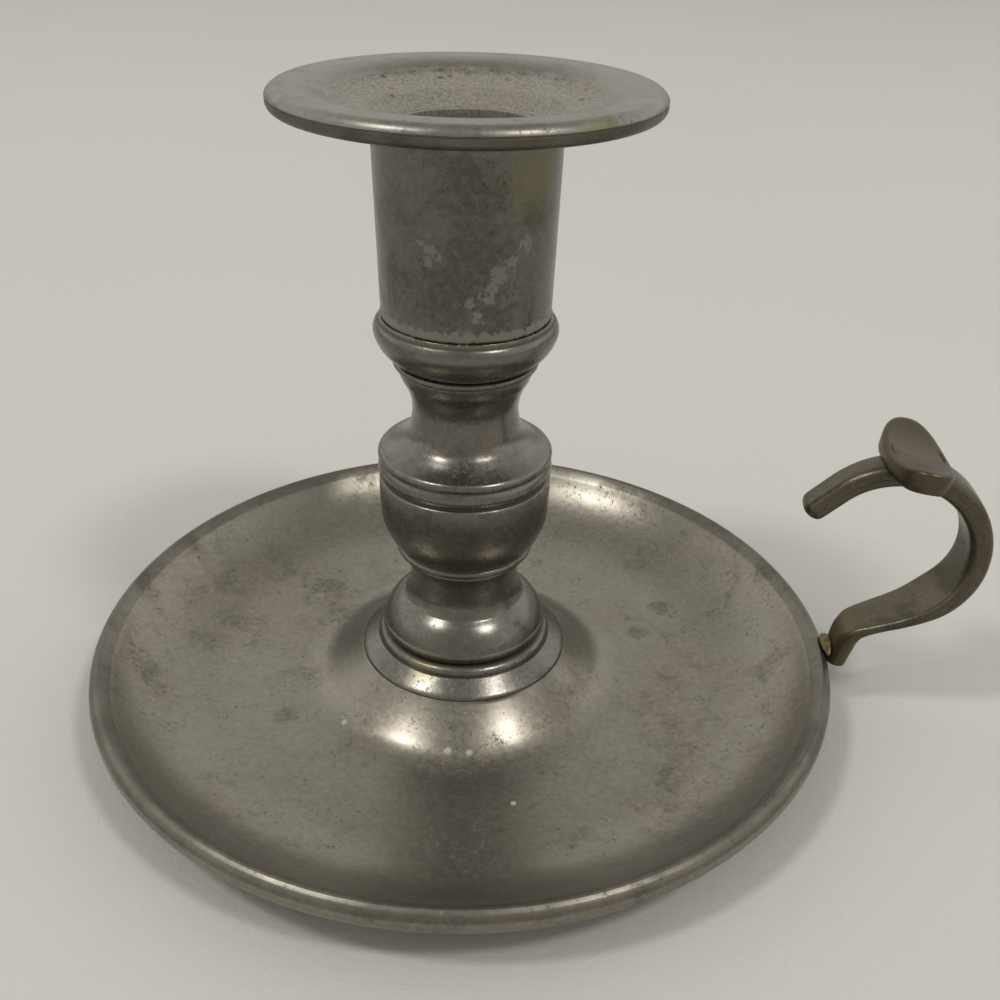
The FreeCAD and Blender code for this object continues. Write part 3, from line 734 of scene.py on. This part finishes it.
class CHAMBERSTICK_OT_cup(StickOperator):
    """Turn the cup that holds the loose nozzle"""

    bl_idname = "chamberstick.cup"
    bl_label = "Candle cup"

    def execute(self, context):
        foot, mouth = SEAT.cup, context.scene.stick_sizes.cup_radius / MM
        span = SEAT.mouth - foot
        finish = pewter(
            "cup_pewter_aged", "up", dull=-0.02, tone=CUP_TONE,
            # The band at the mouth darkens the top of the cup just below the flange.
            crevices=((foot, 0.35, 0.5), (SEAT.mouth, 1.2, 0.5)),
            flakes=((foot + 0.8, 2.6, 1.0),),
            scales=((-4.8, -13.8, 89.4, 1.3), (4.2, -14.0, 84.2, 1.6), (2.9, -14.3, 81.1, 1.5),
                    (10.1, -10.6, 91.9, 2.0), (6.2, -13.2, 87.7, 2.2), (7.9, -12.2, 89.4, 1.6),
                    (5.1, -13.7, 85.9, 1.7), (-4.3, -14.0, 91.3, 1.4), (-3.0, -14.3, 90.2, 1.0),
                    (1.8, -14.5, 83.2, 1.3), (4.5, -13.9, 83.9, 1.6), (-5.8, -13.4, 92.1, 1.0)),
            # The four tall blots down the front are tarnish and painted shade, standing in for the
            # dark reflection that faces the camera.
            tarnish_and_shade_blots=((2.0, -14.4, 100.0, 7.0), (3.0, -14.0, 92.0, 8.0), (-1.0, -14.5, 84.0, 9.0),
                   (5.0, -13.5, 79.5, 6.0), (11.0, -9.5, 96.0, 4.0), (-10.5, -9.5, 86.0, 4.5)),
            stains=((10.9, -9.7, 101.2, 6.0),))
        turned("candle_cup", [
            (0.0, -DEPTH), *spigot()[1:], (14.05, 0.0), (14.2, 0.3), (mouth, span - 0.2),
            (mouth - 0.2, span), (mouth - 0.9, span), (12.3, span - 3.1), (12.3, 3.0), (0.0, 3.0),
        ], foot, finish, "cup_pewter")
        return {"FINISHED"}


class CHAMBERSTICK_OT_nozzle(StickOperator):
    """Turn the loose nozzle: its dished flange and the sleeve for the candle"""

    bl_idname = "chamberstick.nozzle"
    bl_label = "Loose nozzle"

    def execute(self, context):
        sizes = context.scene.stick_sizes
        edge, cup = sizes.flange_radius / MM, sizes.cup_radius / MM
        mouth = SEAT.mouth
        top = SEAT.top - mouth - 0.04
        under, dish, hole = top - 3.3, 22.2, 12.0
        nose = low("nozzle_flange") - mouth
        throat = high("nozzle_sleeve") - mouth
        finish = pewter(
            "nozzle_pewter_aged", "round", dull=0.04, patches=0.4, tone=NOZZLE_TONE,
            # An even dark band of painted shade over the flange's upright band and its underside,
            # below the groove.
            shade_and_tarnish_band=(mouth - 1.0, SEAT.top - 1.4, 0.95),
            tarnish_and_shade_blots=((21.5, -21.5, 112.3, 1.8),),
            stains=((20.3, -22.7, 110.8, 4.0),),
            crust=(mouth - 3.0, 22.3, 21.6, -0.6))
        turned("nozzle_flange", [
            (hole, nose), (hole + 0.25, nose), (cup - 1.1, 0.0), (cup + 0.4, 0.0),
            (dish - 1.6, under, cup + 3.6, under - 0.9), (edge - 1.8, under),
            (edge - 0.1, under + 1.2, edge - 0.45, under + 0.35), (edge - 0.1, top - 1.55),
            (edge - 0.3, top - 1.5), (edge - 0.3, top - 1.38), (edge - 0.05, top - 1.3),
            (edge - 2.5, top, edge - 0.72, top - 0.4), (dish + 3.4, top),
            (dish - 1.2, top - 1.35, dish + 1.2, top - 0.345),
            (cup + 0.3, 1.5, dish - 3.84, top - 2.67), (hole, throat),
        ], mouth, finish, "nozzle_pewter", body="nozzle", wide=True, dents=0.3, pitch=0.5)
        foot = low("nozzle_sleeve") - mouth
        turned("nozzle_sleeve", [(11.1, foot), (11.95, foot), (11.95, throat), (11.1, throat)],
               mouth, finish, "nozzle_pewter", body="nozzle")
        return {"FINISHED"}


def mesh_piece(name, vertices, faces, material):
    """A plain smooth mesh in millimetres, its normals pointing outwards."""
    mesh = bpy.data.meshes.new(name)
    mesh.from_pydata([Vector(v) * MM for v in vertices], [], faces)
    form = bmesh.new()
    form.from_mesh(mesh)
    bmesh.ops.remove_doubles(form, verts=form.verts, dist=1e-7)
    bmesh.ops.recalc_face_normals(form, faces=form.faces)
    form.to_mesh(mesh)
    form.free()
    mesh.materials.append(material)
    mesh.shade_smooth()
    return linked(name, mesh)


def skinned(rings):
    """Faces that join rings of the same number of vertices, one after the other."""
    count = len(rings[0])
    vertices = [v for ring in rings for v in ring]
    starts = range(0, len(vertices), count)
    faces = [(here + k, here + (k + 1) % count, after + (k + 1) % count, after + k)
             for here, after in zip(starts, starts[1:]) for k in range(count)]
    faces += [tuple(end + k for k in range(count)) for end in (starts[0], starts[-1])]
    return vertices, faces


def strap_stations():
    """Stations along the strap's inner face: length so far, across, up, heading in degrees,
    width and thickness, at each change in the path."""
    x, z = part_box("drip_pan")[1].x / MM + 0.05, high("drip_pan") - 2.4
    heading, length = 80.0, 0.0
    rows = [(length, x, z, heading, 5.95, 3.15)]

    def go(distance, wide, thick):
        nonlocal x, z, length
        x += cos(radians(heading)) * distance
        z += sin(radians(heading)) * distance
        length += distance
        rows.append((length, x, z, heading, wide, thick))

    def bend(radius, until, wide, thick):
        nonlocal x, z, heading, length
        side = 1 if until > heading else -1
        before, after = radians(heading), radians(until)
        x += (sin(after) - sin(before)) * radius * side
        z += (cos(before) - cos(after)) * radius * side
        length += abs(after - before) * radius
        heading = until
        rows.append((length, x, z, heading, wide, thick))

    go(2.25, 7.0, 3.8)
    go(2.25, 7.0, 4.2)
    for row in (67.4, 7.3, 4.1), (54.8, 7.7, 3.85), (39.4, 8.2, 2.8), (24.0, 8.65, 2.1):
        bend(6.0, *row)
    go(2.8, 9.2, 1.95)
    go(2.8, 9.8, 1.9)
    for row in (29.25, 10.3, 2.15), (34.5, 10.8, 2.45), (39.75, 11.3, 2.7), (45.0, 11.7, 3.0):
        bend(24.0, *row)
    loop_steps = 24
    for share in (k / loop_steps for k in range(1, loop_steps + 1)):
        wide, thick = 11.7 - 5.5 * min(1.0, share * 1.05), 3.0 + 1.1 * min(1.0, share * 7)
        bend(13.3, 45.0 + 179.0 * share, wide, thick)
    go(2.2, 6.2, 4.1)
    go(1.8, 6.2, 4.1)
    go(1.3, 5.9, 4.0)
    return rows


def quarter(steps, first=0):
    """Angles of a quarter turn, from the first step to the last."""
    return [pi / 2 * k / steps for k in range(first, steps + 1)]


class CHAMBERSTICK_OT_strap(StickOperator):
    """Forge the strap: its foot on the rim, long bend, loop and finger end"""

    bl_idname = "chamberstick.strap"
    bl_label = "Finger loop"

    def execute(self, context):
        pitch, foot_cap, finger_cap = 0.55, 0.5, 1.9
        rows = strap_stations()
        rings = [self.section(*row[1:]) for row in self.dense(rows, pitch)]
        rings = self.cap(rings[0], rows[0][3] + 180.0, foot_cap)[::-1] + rings
        rings += self.cap(rings[-1], rows[-1][3], finger_cap)
        vertices, faces = skinned(rings)
        finish = pewter("handle_pewter_aged", None, patches=0.55, tone=HANDLE_TONE,
                        tint=(72.0, 76.5, 26.0, (0.115, 0.086, 0.042), 0.75))
        piece = mesh_piece("handle_strap_forged", vertices, faces, finish)
        put(piece, "handle_strap", "stick", "handle_pewter")
        return {"FINISHED"}

    @staticmethod
    def dense(rows, pitch):
        """Rows at an even pitch, with widths and thicknesses eased between the given ones."""
        made = []
        for first, second in zip(rows, rows[1:]):
            span = second[0] - first[0]
            count = max(1, round(span / pitch))
            bend = radians(second[3] - first[3])
            for k in range(count):
                t = k / count
                row = [a + (b - a) * t for a, b in zip(first, second)]
                if abs(bend) > 1e-6:
                    radius, start = span / bend, radians(first[3])
                    row[1] = first[1] + radius * (sin(start + bend * t) - sin(start))
                    row[2] = first[2] + radius * (cos(start) - cos(start + bend * t))
                made.append(row)
        made.append(rows[-1])
        eased, reach = [list(row) for row in made], 5
        for k, row in enumerate(eased):
            near = made[max(0, k - reach):k + reach + 1]
            row[4:] = (sum(field) / len(near) for field in list(zip(*near))[4:])
        return eased

    @staticmethod
    def section(across, up, heading, wide, thick):
        """Cross-section with worn corners, its two broad faces a little crowned."""
        angle = radians(heading)
        out = Vector((sin(angle), 0.0, -cos(angle)))
        inner = Vector((across, 0.0, up))
        radius = min(1.0 + 0.75 * max(0.0, thick - 3.0), thick * 0.42)
        half, steps, runs, crown = wide / 2, 6, 6, 0.16
        ring = []
        for depth, side, start in (
                (thick - radius, half - radius, 0), (radius, half - radius, 90),
                (radius, radius - half, 180), (thick - radius, radius - half, 270)):
            for k in range(steps + 1):
                turn = radians(start + 90 * k / steps)
                ring.append((depth + radius * cos(turn), side + radius * sin(turn)))
        points = []
        for k, (depth, side) in enumerate(ring):
            points.append((depth, side))
            if k % (steps + 1) == steps:
                after = ring[(k + 1) % len(ring)]
                for t in (i / runs for i in range(1, runs)):
                    points.append((depth + (after[0] - depth) * t, side + (after[1] - side) * t))
        made = []
        for depth, side in points:
            swell = crown * (1 - (side / half) ** 2)
            depth += swell - crown if depth > thick / 2 else -swell * 0.4
            made.append(inner + out * depth + Vector((0.0, side, 0.0)))
        return made

    @staticmethod
    def cap(last, heading, reach):
        """Rings of a rounded end beyond the last one, which stop short of a point."""
        steps, closing = 6, 0.94
        middle = sum(last, Vector()) / len(last)
        ahead = Vector((cos(radians(heading)), 0.0, sin(radians(heading))))
        return [[middle + (p - middle) * cos(a * closing) + ahead * (reach * sin(a * closing))
                 for p in last] for a in quarter(steps, 1)]


class CHAMBERSTICK_OT_thumb_rest(StickOperator):
    """Cast the oval thumb rest on the crown of the loop"""

    bl_idname = "chamberstick.thumb_rest"
    bl_label = "Thumb rest"

    def execute(self, context):
        half_long, half_wide, thick, curl, tilt = 11.1, 5.5, 2.75, 2.2, 8.0
        corner, foot_inset, foot_lift, count = 1.0, 0.8, 0.6, 96
        outline, normals = [], []
        for k in range(count):
            c, s = cos(tau * k / count), sin(tau * k / count)
            outline.append(Vector((half_wide * copysign(abs(c) ** 0.84, c),
                                   half_long * copysign(abs(s) ** 0.92, s))))
        for k in range(count):
            along = outline[(k + 1) % count] - outline[k - 1]
            normals.append(Vector((along.y, -along.x)).normalized())

        def ring(scale=1.0, inset=0.0, level=1.0, lift=0.0):
            made = []
            for point, normal in zip(outline, normals):
                p = point * scale - normal * inset
                over = thick + curl * (p.y / half_long) ** 2 + 0.25 * (p.x / half_wide) ** 2
                under = 0.75 * max(0.0, (abs(p.y) / half_long - 0.72) / 0.28) ** 2
                made.append((p.x, p.y, under + (over - under) * level + lift))
            return made

        rings = [ring(scale) for scale in (0.02, 0.18, 0.36, 0.54, 0.7, 0.82)]
        rings += [ring(inset=corner * (1 - sin(a)), lift=-corner * 0.9 * (1 - cos(a)))
                  for a in quarter(6)]
        rings += [ring(level=level) for level in (0.5, 0.35)]
        rings += [ring(inset=foot_inset * (1 - cos(a)), level=0.0, lift=foot_lift * (1 - sin(a)))
                  for a in quarter(5, 1)]
        rings += [ring(scale, level=0.0) for scale in (0.8, 0.55, 0.3, 0.02)]
        vertices, faces = skinned(rings)
        turn = Matrix.Rotation(radians(tilt), 4, "Y")
        placed = [turn @ Vector(v) for v in vertices]
        crown = (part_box("thumb_rest")[0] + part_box("thumb_rest")[1]) / 2 / MM
        middle = (min(v.x for v in placed) + max(v.x for v in placed)) / 2
        seat = Vector((crown.x - middle, 0.0, low("thumb_rest") - min(v.z for v in placed)))
        # The tint reaches far past the piece, so it covers all of it.
        finish = pewter("thumb_pewter_aged", None, patches=0.6, tone=HANDLE_TONE,
                        tint=(200.0, 201.0, 80.0, (0.085, 0.058, 0.030), 0.5))
        piece = mesh_piece("thumb_rest_cast", [v + seat for v in placed], faces, finish)
        put(piece, "thumb_rest", "stick", "handle_pewter")
        return {"FINISHED"}


class CHAMBERSTICK_OT_solder(StickOperator):
    """Run the yellow solder between the rim and the strap's foot"""

    bl_idname = "chamberstick.solder"
    bl_label = "Solder"

    def execute(self, context):
        rim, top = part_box("drip_pan")[1].x / MM, high("drip_pan")
        half_wide, count = 3.4, 24
        middle = Vector((rim - 0.1, top - 0.4))
        rings = []
        for k in range(count + 1):
            side = -half_wide + 2 * half_wide * k / count
            share = sqrt(max(0.0, 1 - (side / half_wide) ** 2)) * 0.93 + 0.07
            bulge = side * side / (2 * rim)
            outline = [(rim - 0.15, top - 1.2), (rim + 0.2, top - 1.2), (rim + 0.45, top - 0.2),
                       (rim + 0.4 + 0.35 * share, top + 1.4 * share),
                       (rim - 0.1, top + 0.85 * share),
                       (rim - 0.7 - 0.3 * share, top + 0.35 * share),
                       (rim - 1.1 * share - 0.3, top + 0.06), (rim - 0.4, top - 0.5)]
            ring = []
            for x, z in outline:
                lump = 1 + 0.12 * noise.noise(Vector((x, side, z)) * 1.3)
                p = (Vector((x, z)) - middle) * (0.35 + 0.65 * share) * lump + middle
                ring.append((p.x - bulge, side, p.y))
            rings.append(ring)
        piece = mesh_piece("handle_solder_run", *skinned(rings), yellow_solder())
        smoothing = piece.modifiers.new("rounding", "SUBSURF")
        smoothing.levels = smoothing.render_levels = 2
        put(evaluated(piece, "handle_solder_fillet"), "handle_solder", "stick", "yellow_solder")
        return {"FINISHED"}


# ---- stage


class CHAMBERSTICK_OT_stage(StickOperator):
    """Set the pale floor, the two soft lamps and the camera"""

    bl_idname = "chamberstick.stage"
    bl_label = "Stage"

    def execute(self, context):
        settings = context.scene.stage_settings
        self.floor(settings)
        self.sky(context, settings)
        self.lamp("lamp_left", -62.0, 58.0, settings.lamp_power)
        self.lamp("lamp_right", 54.0, 56.0, settings.lamp_power)
        self.camera(context, settings)
        return {"FINISHED"}

    def floor(self, settings):
        """Floor that sweeps up into a backdrop far behind."""
        material, shader, mm = new_finish("pale_floor")
        shader.inputs["Roughness"].default_value = 0.75
        shader.inputs["Specular IOR Level"].default_value = 0.25
        wrinkle = grain(mm, 2.6, 4.0, 0.6, 1.2)
        broad = grain(mm, 160.0, 2.0)
        shade = mixed(broad.step(0.3, 0.7), [c * 0.985 for c in settings.floor], settings.floor)
        join(shader, {"Base Color": shade}, wrinkle, 0.3 * MM, strength=0.5)
        flat, bend, count = 2.2, 0.9, 72
        line = [(0.3, 0.0), (1.0, 0.0), (flat, 0.0)]
        line += [(flat + bend * sin(radians(a)), bend - bend * cos(radians(a)))
                 for a in range(8, 73, 8)]
        vertices = [(r * cos(tau * k / count), r * sin(tau * k / count), z)
                    for r, z in line for k in range(count)]
        faces = [tuple(range(count))]
        faces += [(i * count + k, (i + 1) * count + k, (i + 1) * count + (k + 1) % count,
                   i * count + (k + 1) % count) for i in range(len(line) - 1) for k in range(count)]
        mesh = bpy.data.meshes.new("floor_sweep")
        mesh.from_pydata(vertices, [], faces)
        mesh.materials.append(material)
        mesh.shade_smooth()
        sweep = linked("floor_sweep", mesh)

    def sky(self, context, settings):
        """Plain sky, brighter at the two sides and behind."""
        world = bpy.data.worlds.new("plain_sky")
        context.scene.world = world
        world.use_nodes = True
        tree = world.node_tree
        shader = tree.nodes["Background"]
        way = add(tree, "ShaderNodeTexCoord", None, None, "Generated")
        apart = add(tree, "ShaderNodeSeparateXYZ", None, {0: way})
        sides = apart * apart * 0.6
        overhead = output(apart, "Z").step(0.55, 0.95)
        behind = output(apart, "Y").step(-0.1, 0.7) * (1 - overhead) * 0.42
        shade = mixed((sides + behind + 0.36).clamped(), (0.0, 0.0, 0.0), (1.0, 0.985, 0.95))
        tree.links.new(shade.socket, shader.inputs["Color"])
        shader.inputs["Strength"].default_value = settings.sky_strength

    def lamp(self, name, azimuth, elevation, power):
        """Soft round lamp aimed at the stick, from its direction in degrees."""
        distance, size, aim = 2.6, 0.42, Vector((0.0, 0.0, 0.04))
        light = bpy.data.lights.new(name, "AREA")
        light.shape = "DISK"
        light.size = size
        light.energy = power
        light.color = (1.0, 0.985, 0.96)
        a, e = radians(azimuth), radians(elevation)
        way = Vector((sin(a) * cos(e), -cos(a) * cos(e), sin(e)))
        lamp = linked(name, light)
        lamp.location = aim + way * distance
        lamp.rotation_mode = "QUATERNION"
        lamp.rotation_quaternion = (-way).to_track_quat("-Z", "Y")

    def camera(self, context, settings):
        """Camera with the place, direction and roll that were fitted to the photograph."""
        place, roll = Vector((15.44, -176.43, 143.9)) * MM, radians(1.48)
        look = Vector((-0.0440, 0.8622, -0.5047)).normalized()
        data = bpy.data.cameras.new("view")
        data.lens = settings.lens
        data.sensor_width = 36.0
        data.clip_start, data.clip_end = 0.01, 20.0
        right = look.cross(Vector((0.0, 0.0, 1.0))).normalized()
        up = right.cross(look)
        across = right * cos(roll) + up * sin(roll)
        upward = up * cos(roll) - right * sin(roll)
        turn = Matrix((across, upward, -look)).transposed().to_4x4()
        camera = linked("view", data)
        camera.matrix_world = Matrix.Translation(place) @ turn
        context.scene.camera = camera
        context.scene.view_settings.view_transform = "Standard"


class VIEW3D_PT_chamberstick(bpy.types.Panel):
    """Lists the pieces and their settings in the 3D view's sidebar"""

    bl_label = "Chamberstick"
    bl_space_type = "VIEW_3D"
    bl_region_type = "UI"
    bl_category = "Chamberstick"

    def draw(self, context):
        for group in (getattr(context.scene, name) for name in GROUPS):
            box = self.layout.box()
            for name in group.bl_rna.properties.keys():
                if name not in {"rna_type", "name"}:
                    box.prop(group, name)
        for operator in OPERATORS:
            self.layout.operator(operator.bl_idname)


OPERATORS = (
    CHAMBERSTICK_OT_pan, CHAMBERSTICK_OT_stem, CHAMBERSTICK_OT_cup, CHAMBERSTICK_OT_nozzle,
    CHAMBERSTICK_OT_strap, CHAMBERSTICK_OT_thumb_rest, CHAMBERSTICK_OT_solder,
    CHAMBERSTICK_OT_stage)
GROUPS = {"stick_sizes": StickSizes, "stick_colours": StickColours, "stage_settings": StageSettings}
CLASSES = (*GROUPS.values(), *OPERATORS, VIEW3D_PT_chamberstick)


def register():
    for kind in CLASSES:
        bpy.utils.register_class(kind)
    for name, group in GROUPS.items():
        setattr(bpy.types.Scene, name, PointerProperty(type=group))


def unregister():
    for name in GROUPS:
        delattr(bpy.types.Scene, name)
    for kind in reversed(CLASSES):
        bpy.utils.unregister_class(kind)


def main():
    """Builds every piece and the stage."""
    register()
    for operator in OPERATORS:
        getattr(bpy.ops.chamberstick, operator.bl_idname.split(".")[1])()


if __name__ == "__main__":
    main()
